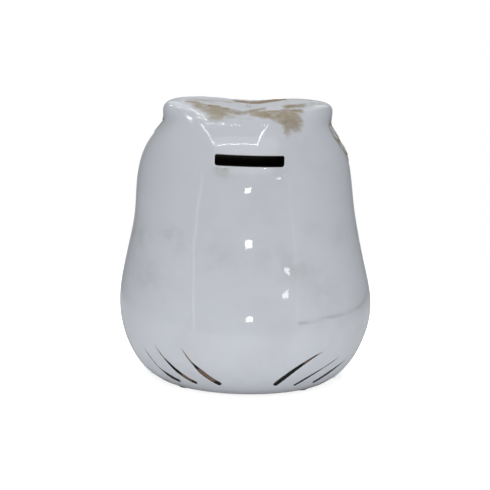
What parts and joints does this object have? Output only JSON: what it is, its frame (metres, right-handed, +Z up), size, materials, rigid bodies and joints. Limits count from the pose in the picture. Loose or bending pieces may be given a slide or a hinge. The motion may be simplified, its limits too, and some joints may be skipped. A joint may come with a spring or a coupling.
{
  "type": "coin bank",
  "caption": "Glazed ceramic owl-shaped coin bank with a coin slot in the back of the head and a pull-out rubber stopper in its base",
  "frame": {"origin": "middle of the base, on the surface that the bank stands on", "axes": "+Z up, +Y towards the back of the owl where the coin slot is, +X towards the owl's left"},
  "size_m": [0.1303, 0.1226, 0.1434],
  "materials": {
    "glaze": "gloss",
    "rubber": "matt",
    "felt": "matt"
  },
  "bodies": {
    "bank": {"owl_shell": "glaze", "felt_pad_1": "felt", "felt_pad_2": "felt", "felt_pad_3": "felt", "felt_pad_4": "felt"},
    "bung": {"stopper": "rubber"}
  },
  "joints": [
    {"name": "stopper_pull", "type": "slide", "parent": "bank", "child": "bung", "axis": [0, 0, -1], "range_m": [0, 0.03]}
  ]
}
